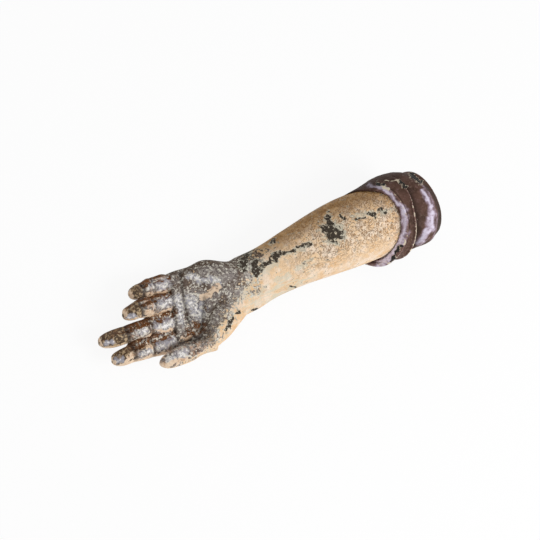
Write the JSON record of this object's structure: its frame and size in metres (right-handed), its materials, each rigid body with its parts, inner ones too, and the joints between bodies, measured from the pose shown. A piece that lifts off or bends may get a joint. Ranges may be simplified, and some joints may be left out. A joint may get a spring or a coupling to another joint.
{
  "type": "carved wooden forearm and hand",
  "caption": "Carved and painted wooden left forearm with an open, palm-up hand and a draped sleeve cuff, sawn off square with a dowel socket that pegs it to a figure.",
  "frame": {"origin": "bottom middle of the whole arm's box, on the table that the arm lies on", "axes": "+X up the arm from the fingertips to the sawn end, +Y to the little finger's side, +Z out of the palm"},
  "size_m": [0.3278, 0.079, 0.0693],
  "materials": {
    "flesh_paint": "worn flesh paint over gesso, pitted and chipped to dark wood",
    "hand_paint": "darkened paint worn to gesso flecks, low sheen on the pads",
    "sleeve_paint": "mauve-brown paint rubbed pale on the folds",
    "bare_wood": "bare cut wood"
  },
  "bodies": {
    "root": {"forearm": "flesh_paint", "palm": "hand_paint", "thumb": "hand_paint", "index_finger": "hand_paint", "middle_finger": "hand_paint", "ring_finger": "hand_paint", "little_finger": "hand_paint", "sleeve_palm_half": "sleeve_paint", "sleeve_back_half": "sleeve_paint", "wrist_dowels": "bare_wood", "thumb_dowel": "bare_wood", "index_dowel": "bare_wood", "middle_dowel": "bare_wood", "ring_dowel": "bare_wood", "little_dowel": "bare_wood", "sleeve_pegs": "bare_wood"}
  },
  "joints": []
}
